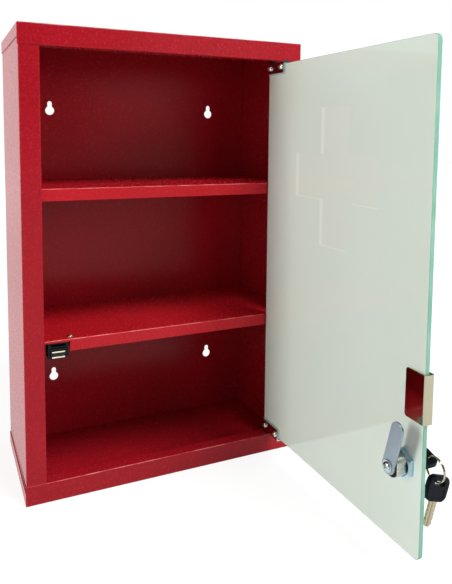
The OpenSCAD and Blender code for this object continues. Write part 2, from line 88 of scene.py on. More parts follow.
# %% The boards
CABINET = Matrix.Scale(0.001, 4) @ move(*tenths(v * 1000 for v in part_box("bottom_cap")[0]))
HEIGHT = measured("top_cap", CABINET)[5]
PIVOT = middle("hinge_pin_top", CABINET)
PIVOT.z = 0.0
DOOR = CABINET @ move(*PIVOT) @ turn(90, "Z") @ move(*-PIVOT)
LOCK = middle("lock_housing", DOOR)
LOCK.y = measured("lock_housing", DOOR)[2]
TILT = 15.0
PLUG = DOOR @ move(*LOCK) @ turn(-TILT, "Y")
print("The hinge is at", [round(v, 1) for v in PIVOT], "on the cabinet's board")
print("The lock sits at", [round(v, 4) for v in (DOOR @ LOCK)])

# %% [markdown]
# ## Camera
#
# The camera stands left of the cabinet, a little over half its height, and looks in to the
# right, so that the inside and the inner face of the open door both show. Its place is given on
# the cabinet's board. The lens shift frames the cabinet without tilting the camera further,
# which would make the upright edges lean.

# %% Camera
yaw, pitch, roll = 0.4290, 0.0876, 0.0079
look = Vector((math.sin(yaw) * math.cos(pitch), math.cos(yaw) * math.cos(pitch), -math.sin(pitch)))
side = Vector((math.cos(yaw), -math.sin(yaw), 0.0))
up = side.cross(look)
right = math.cos(roll) * side + math.sin(roll) * up
top = -math.sin(roll) * side + math.cos(roll) * up
camera_data = bpy.data.cameras.new("camera")
camera = bpy.data.objects.new("camera", camera_data)
bpy.context.scene.collection.objects.link(camera)
stand = CABINET @ Vector((-68.2122, -585.601, 358.3036))
camera.matrix_world = (Matrix.Translation(stand)
                       @ Matrix((right, top, -look)).transposed().to_4x4())
camera_data.sensor_width = 36.0
camera_data.lens = 37.767
camera_data.shift_x = 0.01526
camera_data.shift_y = -0.17488
camera_data.clip_start = 0.01
bpy.context.scene.camera = camera
bpy.context.scene.view_settings.view_transform = "Standard"
print("Camera at", [round(v, 3) for v in camera.location])

# %% [markdown]
# ## Light and floor
#
# The room's light is brighter behind the cabinet than in front of it, so the front mirrors little
# and keeps its colour, while the left side, seen at a glancing angle, turns pale. The key lamp
# and a weak fill stand to the right of the open front, so the door shades the right end of the
# shelves. A tall narrow lamp far to the left lights the inner face of the door and hardly
# reaches in behind the stile. A weak one at the front left helps it, and one far to the right
# lights the outer side.
#
# To the camera the room is white, and so is most of the floor. A share of the floor stays a real
# grey surface that takes the cabinet's shadow. Far away it fades into the white of the room.

# %% World
world = bpy.data.worlds.new("room")
bpy.context.scene.world = world
world.use_nodes = True
wn, wl = world.node_tree.nodes, world.node_tree.links
wn.clear()
w_out = wn.new("ShaderNodeOutputWorld")
w_mix = wn.new("ShaderNodeMixShader")
w_light = wn.new("ShaderNodeBackground")
w_white = wn.new("ShaderNodeBackground")
w_where = wn.new("ShaderNodeTexCoord")
w_dot = wn.new("ShaderNodeVectorMath")
w_dot.operation = "DOT_PRODUCT"
w_dot.inputs[1].default_value = (-0.25, 0.96, 0.05)
w_range = wn.new("ShaderNodeMapRange")
w_range.inputs["From Min"].default_value = 0.55
w_range.inputs["From Max"].default_value = 0.95
w_range.inputs["To Min"].default_value = 0.10
w_range.inputs["To Max"].default_value = 1.05
w_path = wn.new("ShaderNodeLightPath")
wl.new(w_where.outputs["Generated"], w_dot.inputs[0])
wl.new(w_dot.outputs["Value"], w_range.inputs["Value"])
wl.new(w_range.outputs["Result"], w_light.inputs["Strength"])
wl.new(w_path.outputs["Is Camera Ray"], w_mix.inputs[0])
wl.new(w_light.outputs[0], w_mix.inputs[1])
wl.new(w_white.outputs[0], w_mix.inputs[2])
wl.new(w_mix.outputs[0], w_out.inputs[0])
for background in (w_light, w_white):
    background.inputs["Color"].default_value = (1.0, 1.0, 1.0, 1.0)


def lamp(name, place, aim, size, power, height=None):
    data = bpy.data.lights.new(name, "AREA")
    data.shape = "ELLIPSE"
    data.size = size
    data.size_y = height or size
    data.energy = power
    found = bpy.data.objects.new(name, data)
    found.location = place
    found.visible_camera = False
    found.rotation_mode = "QUATERNION"
    found.rotation_quaternion = (Vector(aim) - Vector(place)).to_track_quat("-Z", "Y")
    bpy.context.scene.collection.objects.link(found)
    return found


lamp("key", (0.42, -1.15, 1.75), (0.0, -0.1, 0.0), 0.8, 30.0)
fill = lamp("front_fill", (0.45, -1.0, 0.3), (-0.03, -0.1, 0.0), 0.5, 3.8)
fill.visible_glossy = False
lamp("door_light", (-1.7, -0.1, 0.12), (0.12, -0.25, 0.0), 0.5, 25.0, 1.8)
lamp("left_front", (-1.3, -1.2, 0.2), (0.12, -0.25, 0.0), 1.0, 3.6, 1.4)
far_side = lamp("far_side", (1.5, 0.2, 0.5), (0.12, -0.25, 0.0), 1.0, 12.0)
far_side.visible_glossy = False
print("Lit by the world and five lamps")

# %% Floor
floor_mat = bpy.data.materials.new("floor_white")
floor_mat.use_nodes = True
fnodes, flinks = floor_mat.node_tree.nodes, floor_mat.node_tree.links
fbsdf = fnodes["Principled BSDF"]
fbsdf.inputs["Base Color"].default_value = (0.5, 0.5, 0.5, 1.0)
fbsdf.inputs["Roughness"].default_value = 0.8
f_path = fnodes.new("ShaderNodeLightPath")
f_share = fnodes.new("ShaderNodeMath")
f_share.operation = "MULTIPLY"
f_share.inputs[1].default_value = 0.6
f_white = fnodes.new("ShaderNodeEmission")
f_where = fnodes.new("ShaderNodeTexCoord")
f_far = fnodes.new("ShaderNodeVectorMath")
f_far.operation = "LENGTH"
f_fade = fnodes.new("ShaderNodeMapRange")
f_fade.inputs["From Min"].default_value = 0.9
f_fade.inputs["From Max"].default_value = 2.6
f_fade.inputs["To Min"].default_value = 1.42
f_fade.inputs["To Max"].default_value = 1.75
flinks.new(f_where.outputs["Object"], f_far.inputs[0])
flinks.new(f_far.outputs["Value"], f_fade.inputs["Value"])
flinks.new(f_fade.outputs["Result"], f_white.inputs["Strength"])
f_mix = fnodes.new("ShaderNodeMixShader")
f_seen = fnodes.new("ShaderNodeMath")
f_seen.operation = "MAXIMUM"
flinks.new(f_path.outputs["Is Camera Ray"], f_seen.inputs[0])
flinks.new(f_path.outputs["Is Glossy Ray"], f_seen.inputs[1])
flinks.new(f_seen.outputs[0], f_share.inputs[0])
flinks.new(f_share.outputs[0], f_mix.inputs[0])
flinks.new(fbsdf.outputs[0], f_mix.inputs[1])
flinks.new(f_white.outputs[0], f_mix.inputs[2])
flinks.new(f_mix.outputs[0], fnodes["Material Output"].inputs["Surface"])
bm = bmesh.new()
bmesh.ops.create_grid(bm, x_segments=1, y_segments=1, size=6.0)
below_feet = CABINET.translation.z - 0.0002
bmesh.ops.translate(bm, verts=bm.verts, vec=(0.0, 0.0, below_feet))
floor_mesh = bpy.data.meshes.new("floor")
bm.to_mesh(floor_mesh)
bm.free()
floor = bpy.data.objects.new("floor", floor_mesh)
floor.data.materials.append(floor_mat)
bpy.context.scene.collection.objects.link(floor)
print("Floor at z", round(floor.data.vertices[0].co.z, 4))

# %% [markdown]
# ## Red powder coat
#
# Powder coat is baked plastic paint. It is fairly glossy, but never flat: seen close, it has the
# fine dimples called orange peel. One noise makes them, in the bump, the gloss and the colour, and
# a wider noise lets the colour drift where the coat is thicker.
#
# Three marks show how the sheets are folded and joined, and part of their colour is painted light.
# The upper front bends get a pale painted highlight, partly also wear, found by the direction
# they face. Thin lines cross the stiles where the caps butt against the sides: the upper one is a
# dark joint, the lower one a pale painted highlight on the edge of the sheet. And a dark joint
# runs along the foot of the left side and widens to the front into painted shade. Each mark is a
# mask made of comparisons, which is all a simple decal needs.

# %% A helper for materials
def new_material(name):
    mat = bpy.data.materials.new(name)
    mat.use_nodes = True
    tree = mat.node_tree
    return mat, tree.nodes, tree.links, tree.nodes["Principled BSDF"]


def noise(n, l, scale, detail=2.0, rough=0.5, vector=None):
    if vector is None:
        vector = n.new("ShaderNodeTexCoord").outputs["Object"]
    tex = n.new("ShaderNodeTexNoise")
    tex.inputs["Scale"].default_value = scale
    tex.inputs["Detail"].default_value = detail
    tex.inputs["Roughness"].default_value = rough
    l.new(vector, tex.inputs["Vector"])
    return tex.outputs["Fac"]


def ramp(n, l, fac, stops):
    node = n.new("ShaderNodeValToRGB")
    points = node.color_ramp.elements
    while len(points) < len(stops):
        points.new(0.5)
    for point, (place, colour) in zip(points, stops):
        point.position = place
        point.color = (*colour, 1.0)
    l.new(fac, node.inputs["Fac"])
    return node.outputs["Color"]


def calc(n, l, operation, *values):
    node = n.new("ShaderNodeMath")
    node.operation = operation
    for socket, value in zip(node.inputs, values):
        if isinstance(value, (int, float)):
            socket.default_value = value
        else:
            l.new(value, socket)
    return node.outputs[0]


def over(n, l, base, colour, mask):
    mix = n.new("ShaderNodeMix")
    mix.data_type = "RGBA"
    mix.inputs["B"].default_value = (*colour, 1.0)
    l.new(mask, mix.inputs["Factor"])
    l.new(base, mix.inputs["A"])
    return mix.outputs["Result"]


def grey(v):
    return (v, v, v)


def srgb(r, g, b):
    return tuple(((c / 255 + 0.055) / 1.055) ** 2.4 if c > 10 else c / 3294.6 for c in (r, g, b))


def bump(n, l, bsdf, height, strength, distance):
    node = n.new("ShaderNodeBump")
    node.inputs["Strength"].default_value = strength
    node.inputs["Distance"].default_value = distance
    l.new(height, node.inputs["Height"])
    l.new(node.outputs["Normal"], bsdf.inputs["Normal"])
    return node


# %% The paint
STILE_EDGE = 0.1305
LOW_JOINT, HIGH_JOINT, HALF_HAIRLINE = -0.209, 0.211, 0.0004
FOOT, SHADE_START, SHADE_LENGTH = -0.2086, -0.055, 0.084
SEAM_MIN, SHADE_GROWTH = 0.0006, 0.0045


def powder_coat(name, thin, thick):
    mat, n, l, bsdf = new_material(name)
    where = n.new("ShaderNodeTexCoord")
    place, normal = n.new("ShaderNodeSeparateXYZ"), n.new("ShaderNodeSeparateXYZ")
    l.new(where.outputs["Object"], place.inputs[0])
    l.new(where.outputs["Normal"], normal.inputs[0])
    x, y, z = (place.outputs[axis] for axis in "XYZ")
    patches = noise(n, l, 14.0, 3.0)
    peel = noise(n, l, 440.0, 2.0, 0.5)
    mottled = calc(n, l, "ADD", calc(n, l, "MULTIPLY", patches, 0.3),
                   calc(n, l, "MULTIPLY", peel, 0.7))
    colour = ramp(n, l, mottled, [(0.34, thin), (0.66, thick)])

    facing = n.new("ShaderNodeVectorMath")
    facing.operation = "DOT_PRODUCT"
    facing.inputs[1].default_value = (0.0, -0.707, 0.707)
    l.new(where.outputs["Normal"], facing.inputs[0])
    # A pale painted highlight on the upper front bends, partly also wear, broken into dashes.
    bend = ramp(n, l, facing.outputs["Value"], [(0.90, grey(0.0)), (0.96, grey(1.0))])
    dashes = ramp(n, l, noise(n, l, 60.0, 3.0), [(0.4, grey(0.1)), (0.62, grey(0.6))])
    bend_highlight_and_wear = calc(n, l, "MULTIPLY", bend, dashes)

    front = calc(n, l, "LESS_THAN", normal.outputs["Y"], -0.9)
    stile = calc(n, l, "GREATER_THAN", calc(n, l, "ABSOLUTE", x), STILE_EDGE)
    across = calc(n, l, "MULTIPLY", front, stile)
    low, high = (
        calc(n, l, "LESS_THAN", calc(n, l, "ABSOLUTE", calc(n, l, "ADD", z, -joint)), HALF_HAIRLINE)
        for joint in (LOW_JOINT, HIGH_JOINT))
    # The line at the lower joint is a pale painted highlight; the one at the upper joint is dark.
    low_joint_highlight = calc(n, l, "MULTIPLY", calc(n, l, "MULTIPLY", across, low), 0.2)
    colour = over(n, l, colour, srgb(236, 150, 152), calc(n, l, "MAXIMUM", bend_highlight_and_wear, low_joint_highlight))
    shut = calc(n, l, "MULTIPLY", calc(n, l, "MULTIPLY", across, high), 0.6)

    # Along the foot of the left side a dark joint widens to the front into painted shade, with its
    # gloss taken away.
    left = calc(n, l, "LESS_THAN", normal.outputs["X"], -0.9)
    ahead = calc(n, l, "ADD", calc(n, l, "MULTIPLY", y, -1.0), SHADE_START)
    forward = calc(n, l, "MAXIMUM", calc(n, l, "DIVIDE", ahead, SHADE_LENGTH), 0.0)
    shade_widening = calc(n, l, "MULTIPLY", calc(n, l, "POWER", forward, 2.0), SHADE_GROWTH)
    width = calc(n, l, "ADD", shade_widening, SEAM_MIN)
    under = calc(n, l, "SUBTRACT", FOOT, z)
    foot_joint_and_shade = calc(n, l, "MULTIPLY", calc(n, l, "GREATER_THAN", under, 0.0),
               calc(n, l, "LESS_THAN", under, width))
    dark_joints_and_shade = calc(n, l, "MAXIMUM", shut, calc(n, l, "MULTIPLY", left, foot_joint_and_shade))
    l.new(over(n, l, colour, srgb(50, 8, 14), dark_joints_and_shade), bsdf.inputs["Base Color"])
    dulled = calc(n, l, "SUBTRACT", 0.5, calc(n, l, "MULTIPLY", dark_joints_and_shade, 0.46))
    l.new(dulled, bsdf.inputs["Specular IOR Level"])

    gloss = ramp(n, l, peel, [(0.3, grey(0.2)), (0.75, grey(0.3))])
    l.new(calc(n, l, "MAXIMUM", gloss, dark_joints_and_shade), bsdf.inputs["Roughness"])
    bump(n, l, bsdf, peel, 0.3, 0.0002)
    bsdf.inputs["IOR"].default_value = 1.28
    return mat


def dress(node_names, mat):
    for name in node_names:
        slots = nodes[name].data.materials
        slots.clear()
        slots.append(mat)
    print(mat.name, "on", len(node_names), "pieces")


body_paint = powder_coat("red_powder_coat", srgb(156, 18, 30), srgb(178, 25, 39))
# The shelves face up to the lamps, so they get a brighter copy of the same red: painted light.
lit_shelf_paint = powder_coat("shelf_powder_coat_painted_lighter", srgb(179, 22, 32), srgb(201, 30, 42))
dress(["top_cap", "bottom_cap", "left_side", "right_side", "back_panel"], body_paint)
dress(["upper_shelf", "lower_shelf"], lit_shelf_paint)

# %% [markdown]
# ## Tools for small parts
#
# The fittings are machined, cut or moulded parts, and a few bmesh steps make all of them: a
# block or disc, a turned profile spun round an axis, a cut with another shape, and a small bevel
# on every sharp edge. The bevel matters most. A real edge is never perfectly sharp, and the thin
# bright line on it is what makes metal look like metal.

# %% Blocks, discs and turned shapes, in millimetres
MERGE = 0.0005


def block(x0, x1, y0, y1, z0, z1):
    bm = bmesh.new()
    bmesh.ops.create_cube(bm, size=1.0)
    bmesh.ops.scale(bm, vec=(x1 - x0, y1 - y0, z1 - z0), verts=bm.verts)
    bmesh.ops.translate(bm, vec=((x0 + x1) / 2, (y0 + y1) / 2, (z0 + z1) / 2), verts=bm.verts)
    return bm


def bar_y(y0, y1, radius, segments=48, radius2=None):
    bm = bmesh.new()
    bmesh.ops.create_cone(bm, cap_ends=True, segments=segments, depth=y1 - y0, radius1=radius,
                          radius2=radius if radius2 is None else radius2)
    bmesh.ops.rotate(bm, matrix=turn(-90, "X"), verts=bm.verts)
    bmesh.ops.translate(bm, vec=(0, (y0 + y1) / 2, 0), verts=bm.verts)
    return bm


def turned(profile, steps=64):
    """Spins (radius, y) points round the y axis."""
    bm = bmesh.new()
    verts = [bm.verts.new((r, y, 0)) for r, y in profile]
    edges = [bm.edges.new(pair) for pair in zip(verts, verts[1:])]
    bmesh.ops.spin(bm, geom=verts + edges, cent=(0, 0, 0), axis=(0, 1, 0), dvec=(0, 0, 0),
                   angle=math.radians(360), steps=steps, use_merge=True, use_duplicate=False)
    bmesh.ops.remove_doubles(bm, verts=bm.verts, dist=MERGE)
    bmesh.ops.recalc_face_normals(bm, faces=bm.faces)
    return bm


# %% Cutting, joining, bevelling
def as_object(bm):
    mesh = bpy.data.meshes.new("work")
    bm.to_mesh(mesh)
    found = bpy.data.objects.new("work", mesh)
    bpy.context.scene.collection.objects.link(found)
    return found


def combine(bm, other, operation):
    first, second = as_object(bm), as_object(other)
    step = first.modifiers.new("step", "BOOLEAN")
    step.operation = operation
    step.solver = "EXACT"
    step.object = second
    result = bpy.data.meshes.new_from_object(
        first.evaluated_get(bpy.context.evaluated_depsgraph_get()))
    bm.clear()
    bm.from_mesh(result)
    bmesh.ops.remove_doubles(bm, verts=bm.verts, dist=MERGE)
    bmesh.ops.dissolve_limit(bm, angle_limit=math.radians(0.5), verts=bm.verts, edges=bm.edges)
    for work in (first, second):
        mesh = work.data
        bpy.data.objects.remove(work)
        bpy.data.meshes.remove(mesh)
    bpy.data.meshes.remove(result)
    other.free()
    return bm


def cut(bm, *cutters):
    for cutter in cutters:
        combine(bm, cutter, "DIFFERENCE")
    return bm


def bevel(bm, width, segments=2, choose=None, sharper_than=35):
    edges = [e for e in bm.edges if len(e.link_faces) == 2
             and e.calc_face_angle(0) > math.radians(sharper_than)
             and (choose is None or choose(e))]
    bmesh.ops.bevel(bm, geom=edges, offset=width, offset_type="OFFSET", segments=segments,
                    profile=0.5, affect="EDGES", clamp_overlap=True, material=-1)
    return bm


def runs(axis, test=None):
    """Picks edges that run along an axis, and pass a test on their middle."""
    def picked(edge):
        a, b = edge.verts[0].co, edge.verts[1].co
        along = (b - a).normalized()
        return abs(along["xyz".index(axis)]) > 0.999 and (test is None or test((a + b) / 2))
    return picked


# %% From the drawing board into the model
def piece(name, bm, board, body, mats, stands_for=(), smooth=38):
    bmesh.ops.transform(bm, matrix=board, verts=bm.verts)
    bmesh.ops.recalc_face_normals(bm, faces=bm.faces)
    mesh = bpy.data.meshes.new(name)
    bm.to_mesh(mesh)
    bm.free()
    for polygon in mesh.polygons:
        polygon.use_smooth = True
    mesh.set_sharp_from_angle(angle=math.radians(smooth))
    found = bpy.data.objects.new(name, mesh)
    bpy.context.scene.collection.objects.link(found)
    even = found.modifiers.new("flat_faces_stay_flat", "WEIGHTED_NORMAL")
    even.keep_sharp = True
    even.weight = 100
    for mat in mats if isinstance(mats, (list, tuple)) else [mats]:
        mesh.materials.append(mat)
    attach(found, body)
    if stands_for:
        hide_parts(*([stands_for] if isinstance(stands_for, str) else stands_for))
    print(name, "-", len(mesh.polygons), "faces")
    return found


def softened(node, width, mat, body, segments=2, filled=None):
    """A CAD piece with its sharp edges bevelled, and a block of the cabinet's board filled in."""
    bm = bmesh.new()
    bm.from_mesh(nodes[node].data)
    bmesh.ops.scale(bm, vec=(1000, 1000, 1000), verts=bm.verts)
    bmesh.ops.remove_doubles(bm, verts=bm.verts, dist=0.002)
    bmesh.ops.dissolve_limit(bm, angle_limit=math.radians(1), verts=bm.verts, edges=bm.edges)
    if filled:
        bmesh.ops.transform(filled, matrix=Matrix.Scale(1000, 4) @ CABINET, verts=filled.verts)
        combine(bm, filled, "UNION")
    bevel(bm, width, segments)
    return piece(node + "_soft", bm, Matrix.Scale(0.001, 4), body, mat, node)


# %% [markdown]
# ## Metals and plastics
#
# The bright fittings are plated. Plating is a mirror, so almost all of what it shows is the
# room. What keeps it from looking like a raytracer's mirror is a trace of grain: fine streaks
# where the strip was rolled or brushed, and a roughness that drifts from place to place. The
# zinc plated lock is a little blue and much duller.

# %% Plated metals
def plated(name, colour, low, high, streaks=(60.0, 60.0, 900.0), grain=0.15):
    mat, n, l, bsdf = new_material(name)
    where = n.new("ShaderNodeTexCoord").outputs["Object"]
    stretch = n.new("ShaderNodeMapping")
    stretch.inputs["Scale"].default_value = streaks
    l.new(where, stretch.inputs["Vector"])
    lines = noise(n, l, 1.0, 3.0, 0.6, stretch.outputs["Vector"])
    clouds = noise(n, l, 90.0, 2.0)
    tint = ramp(n, l, clouds, [(0.25, tuple(c * 0.93 for c in colour)), (0.75, colour)])
    l.new(tint, bsdf.inputs["Base Color"])
    rough = ramp(n, l, lines, [(0.3, grey(low)), (0.75, grey(high))])
    l.new(rough, bsdf.inputs["Roughness"])
    bump(n, l, bsdf, lines, grain, 0.00003)
    bsdf.inputs["Metallic"].default_value = 1.0
    return mat


chrome = plated("chrome_plate", (0.58, 0.58, 0.60), 0.12, 0.20)
nickel = plated("bright_nickel", (0.48, 0.46, 0.33), 0.05, 0.11, grain=0.06)
zinc = plated("zinc_plate", (0.33, 0.41, 0.47), 0.34, 0.42, grain=0.03)
blue_zinc = plated("blue_zinc_plate", (0.50, 0.70, 0.84), 0.26, 0.34, grain=0.03)
barrel_zinc = plated("barrel_zinc_plate", (0.50, 0.53, 0.48), 0.22, 0.32, grain=0.05)
brass = plated("key_brass", (0.46, 0.42, 0.28), 0.20, 0.32)
screw_steel = plated("screw_steel", (0.70, 0.67, 0.54), 0.22, 0.32)
lever_steel = plated("lever_steel", (0.52, 0.62, 0.60), 0.12, 0.22)
pole_steel = plated("pole_steel", (0.95, 0.90, 0.68), 0.25, 0.4)
print("Nine metals")


# %% Plastics and rubber
def moulded(name, colour, rough, grain_scale, grain, ior=1.27):
    mat, n, l, bsdf = new_material(name)
    clouds = noise(n, l, 160.0, 2.0)
    tint = ramp(n, l, clouds, [(0.3, tuple(c * 0.8 for c in colour)), (0.7, colour)])
    l.new(tint, bsdf.inputs["Base Color"])
    fine = noise(n, l, grain_scale, 2.0, 0.6)
    gloss = ramp(n, l, fine, [(0.3, grey(rough)), (0.7, grey(min(1.0, rough * 1.35)))])
    l.new(gloss, bsdf.inputs["Roughness"])
    bump(n, l, bsdf, fine, grain, 0.00006)
    bsdf.inputs["IOR"].default_value = ior
    return mat


black_plastic = moulded("black_nylon", (0.007, 0.007, 0.010), 0.38, 2200.0, 0.25)
key_plastic = moulded("key_head_plastic", (0.003, 0.006, 0.009), 0.34, 2600.0, 0.2, ior=1.2)
black_rubber = moulded("black_rubber", (0.015, 0.015, 0.015), 0.6, 1500.0, 0.3)
grey_pad = moulded("grey_pad", (0.10, 0.10, 0.10), 0.6, 1500.0, 0.3)
ferrite = moulded("ferrite_magnet", (0.035, 0.035, 0.04), 0.5, 1800.0, 0.4)
clear_pad = moulded("clear_soft_pad", (0.44, 0.58, 0.54), 0.22, 1200.0, 0.1)
print("Five plastics and a magnet")

# %% [markdown]
# ## The glass door
#
# The door is a sheet of float glass, printed white at the back, so nothing shows through it. It
# is cut from a block: the corners are rounded, the lock hole is drilled, and then the whole edge
# gets the small polished chamfer that keeps it from cutting. The faces and the edge want two
# finishes, because only the edge shows how green the glass is inside.
#
# A pale cross is seen in the print. It needs no outline: two bands, each found by its distance
# from the middle of the cross, make it. The same cross, shifted a little and taken away, leaves
# a bright rim along one side: a painted highlight for the light that the thickness of the glass
# shows there.

# %% Glass finishes
def enamelled_glass():
    mat, n, l, bsdf = new_material("printed_glass")
    where = n.new("ShaderNodeTexCoord").outputs["Object"]
    split = n.new("ShaderNodeSeparateXYZ")
    l.new(where, split.inputs["Vector"])

    def near(axis, middle, half):
        away = calc(n, l, "ABSOLUTE", calc(n, l, "SUBTRACT", split.outputs[axis], middle))
        return calc(n, l, "LESS_THAN", away, half)

    def cross(shift, rise):
        y, z = CROSS_Y + shift, CROSS_Z + rise
        upright = calc(n, l, "MULTIPLY", near("Y", y, UPRIGHT_HALF[0]),
                       near("Z", z, UPRIGHT_HALF[1]))
        level = calc(n, l, "MULTIPLY", near("Y", y, LEVEL_HALF[0]), near("Z", z, LEVEL_HALF[1]))
        return calc(n, l, "MAXIMUM", upright, level)

    clouds = noise(n, l, 9.0, 2.0)
    base = ramp(n, l, clouds, [(0.3, srgb(217, 229, 215)), (0.7, srgb(221, 233, 222))])
    front, back = cross(0.0, 0.0), cross(-0.0052, 0.0008)
    base = over(n, l, base, srgb(222, 231, 219), front)
    # The rim left by the shifted cross is a painted highlight.
    base = over(n, l, base, srgb(231, 241, 229), calc(n, l, "SUBTRACT", front, back))
    l.new(base, bsdf.inputs["Base Color"])
    mist = noise(n, l, 1600.0, 2.0)
    gloss = ramp(n, l, mist, [(0.3, grey(0.015)), (0.75, grey(0.03))])
    l.new(gloss, bsdf.inputs["Roughness"])
    bsdf.inputs["IOR"].default_value = 1.5
    return mat


def cut_glass():
    mat, n, l, bsdf = new_material("glass_edge")
    deep = noise(n, l, 40.0, 2.0)
    green = ramp(n, l, deep, [(0.3, srgb(118, 176, 152)), (0.7, srgb(140, 190, 170))])
    l.new(green, bsdf.inputs["Base Color"])
    ground = noise(n, l, 900.0, 2.0)
    gloss = ramp(n, l, ground, [(0.3, grey(0.12)), (0.7, grey(0.22))])
    l.new(gloss, bsdf.inputs["Roughness"])
    bump(n, l, bsdf, ground, 0.1, 0.00004)
    return mat


CROSS = DOOR @ Vector((151.2, 7.0, 320.0))
CROSS_Y, CROSS_Z = CROSS.y, CROSS.z
UPRIGHT_HALF, LEVEL_HALF = (0.0215, 0.066), (0.0652, 0.022)
printed_glass = enamelled_glass()
glass_edge = cut_glass()
print("Cross at", round(CROSS_Y, 4), round(CROSS_Z, 4))

# %% The pane
GLASS_OUTSIDE, GLASS_INSIDE = measured("door_glass", DOOR)[2:4]
LOCK_HOLE_RADIUS = 9.8
bm = block(*measured("door_glass", DOOR))
bevel(bm, 5.0, 10, runs("y"))
hole = bar_y(0, 10, LOCK_HOLE_RADIUS, 64)
bmesh.ops.translate(hole, vec=LOCK, verts=hole.verts)
cut(bm, hole)
bevel(bm, 0.35, 2)
bm.normal_update()
for face in bm.faces:
    face.material_index = 0 if abs(face.normal.y) > 0.98 else 1
piece("pane", bm, DOOR, "door", (printed_glass, glass_edge), "door_glass")

# %% [markdown]
# ## Screws
#
# A pan head screw is a turned shape with a cross cut into its head. One function makes all of
# them, each in its own size.

# %% Pan head screws
def screw(name, head_r, head_h, shank_r, shank_l, board, body, stands_for, mat):
    dome = [(head_r * math.cos(a), head_h * (0.35 + 0.65 * math.sin(a)))
            for a in (math.radians(d) for d in range(0, 81, 10))]
    bm = turned([(0, -shank_l), (shank_r, -shank_l), (shank_r, 0), (head_r - 0.1, 0),
                 (head_r, 0.1)] + dome + [(0, head_h)], 48)
    reach, half_slot = head_r * 0.56, 0.42
    for long_x, long_z in ((reach, half_slot), (half_slot, reach)):
        slot = block(-long_x, long_x, head_h * 0.45, head_h + 1, -long_z, long_z)
        cut(bm, slot)
    bevel(bm, 0.06, 1, sharper_than=50)
    return piece(name, bm, board, body, mat, stands_for, smooth=30)


CLIP_BOX = measured("hinge_clip_top", DOOR)
CLAMPS = [middle("clip_screw_top_" + side, DOOR) for side in ("inner", "outer")]
UPSIDE_DOWN = move(0, 0, HEIGHT) @ Matrix.Scale(-1, 4, (0, 0, 1))
for level, board in (("top", DOOR), ("bottom", DOOR @ UPSIDE_DOWN)):
    for side_name, clamp in zip(("inner", "outer"), CLAMPS):
        node = "clip_screw_" + level + "_" + side_name
        screw(node + "_fine", 3.0, 2.5, 1.5, 1.2, board @ move(clamp.x, CLIP_BOX[3], clamp.z),
              "door", node, screw_steel)

# %% [markdown]
# ## The hinge clips
#
# Each clip is a strip of brass folded round the edge of the glass and chrome plated. Starting
# from a solid block, the channel is cut out, then the folds are rounded outside and inside with
# two radii one strip thickness apart, which is what a folded strip has. Under each clip lies a
# soft clear pad, which keeps metal off the glass. It is cut a little larger than the clip, so a
# pale rim shows round it.

# %% Hinge clips
CLIP_SCREW_RADIUS, PIN_RADIUS = 1.5, 1.85
STRIP = 1.2
PAD_BESIDE, PAD_BELOW = 2.2, 1.3


def hinge_clip(name, board, stands_for):
    x0, x1, y0, y1, z0, z1 = CLIP_BOX
    bm = block(*CLIP_BOX)
    cut(bm, block(x0 - 3, x1 + 3, y0 + STRIP, y1 - STRIP, z0 - 5, z1 - STRIP))
    bevel(bm, 1.6, 5, runs("x", lambda m: m.z > 438))
    bevel(bm, 0.4, 3, runs("x", lambda m: 437 < m.z < 437.6 and 2 < m.y < 8))
    bevel(bm, 2.0, 5, runs("y", lambda m: m.z < 426))
    for clamp in CLAMPS:
        hole = bar_y(6, 10, CLIP_SCREW_RADIUS, 24)
        bmesh.ops.translate(hole, vec=(clamp.x, 0, clamp.z), verts=hole.verts)
        cut(bm, hole)
    hole = bar_y(-2, 2, PIN_RADIUS, 32)
    bmesh.ops.rotate(hole, matrix=turn(90, "X"), verts=hole.verts)
    bmesh.ops.translate(hole, vec=(PIVOT.x, PIVOT.y, 438), verts=hole.verts)
    cut(bm, hole)
    bevel(bm, 0.18, 2, sharper_than=50)
    return piece(name, bm, board, "door", chrome, stands_for)


def clip_pad(name, board, stands_for):
    _, x1, y0, y1, _, z1 = measured("hinge_pad_top", DOOR)
    bm = block(CLIP_BOX[0] - PAD_BESIDE, x1, y0, y1, CLIP_BOX[4] - PAD_BELOW, z1)
    cut(bm, block(230, 280, GLASS_OUTSIDE, GLASS_INSIDE, 420, 435))
    bevel(bm, 2.2, 5, runs("y", lambda m: m.z < 426 and m.x < 245))
    bevel(bm, 0.15, 2, sharper_than=50)
    return piece(name, bm, board, "door", clear_pad, stands_for)


hinge_clip("top_clip", DOOR, "hinge_clip_top")
hinge_clip("bottom_clip", DOOR @ UPSIDE_DOWN, "hinge_clip_bottom")
clip_pad("top_pad", DOOR, "hinge_pad_top")
clip_pad("bottom_pad", DOOR @ UPSIDE_DOWN, "hinge_pad_bottom")
dress(["hinge_pin_top", "hinge_pin_bottom"], screw_steel)

# %% [markdown]
# ## The handle clip
#
# The handle is the same idea standing up: a strip folded round the free edge, with a liner
# between it and the glass. Outside it is the pull, inside it is what the magnet holds. A folded
# strip springs back a little, so its inner leg leans, and a leaning mirror shows the dark inside
# of the cabinet instead of the bright room. The liner leans with it.

# %% Handle clip
HANDLE_BOX = measured("handle_clip", DOOR)
HANDLE_STRIP = 1.0
FOLD_X = HANDLE_BOX[0] + HANDLE_STRIP
LEG_LENGTH = HANDLE_BOX[1] - FOLD_X
STRIP_LOW, STRIP_HIGH = HANDLE_BOX[4:]
LEAN_AT_TIP, LEAN_AT_TOP = 0.6, 0.3


def lean_in(bm):
    for vert in bm.verts:
        if vert.co.y > 7.5:
            out = (vert.co.x - FOLD_X) / LEG_LENGTH
            upward = (vert.co.z - STRIP_LOW) / (STRIP_HIGH - STRIP_LOW)
            vert.co.y -= out * LEAN_AT_TIP + upward * LEAN_AT_TOP


